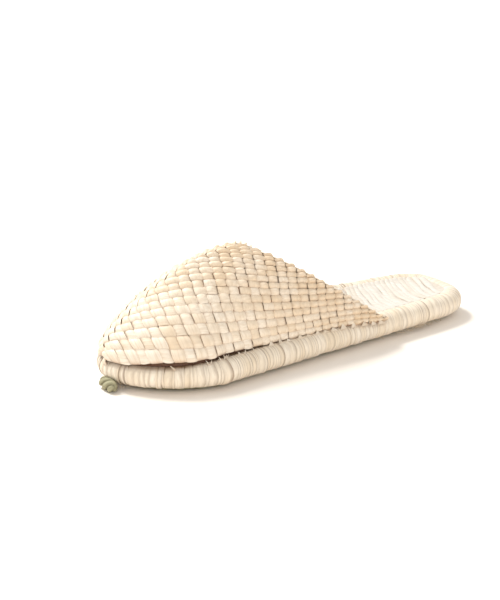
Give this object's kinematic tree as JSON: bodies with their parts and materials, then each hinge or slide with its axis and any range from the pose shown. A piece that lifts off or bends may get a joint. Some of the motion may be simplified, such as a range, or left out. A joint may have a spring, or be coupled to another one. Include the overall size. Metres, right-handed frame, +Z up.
{
  "type": "corn husk slipper",
  "caption": "Backless slipper plaited from flat plant-husk strips, with a rounded husk-wound edge, a dished inner sole and a coiled rope outsole.",
  "frame": {"origin": "on the floor, under the middle of the whole slipper's box", "axes": "-Y towards the toe, +X towards the wearer's left, +Z up"},
  "size_m": [0.0983, 0.2721, 0.0722],
  "materials": {
    "husk_plait": "matt dried husk, plaited",
    "husk_wrap": "satin dried husk, wound crosswise",
    "husk_mat": "matt dried husk, twisted strands",
    "grass_rope": "rough grey-green rope",
    "grass_rope_end": "rough grey-green rope"
  },
  "bodies": {
    "root": {"upper": "husk_plait", "edge_roll": "husk_wrap", "footbed": "husk_mat", "outsole": "grass_rope", "rope_knot": "grass_rope_end"}
  },
  "joints": []
}
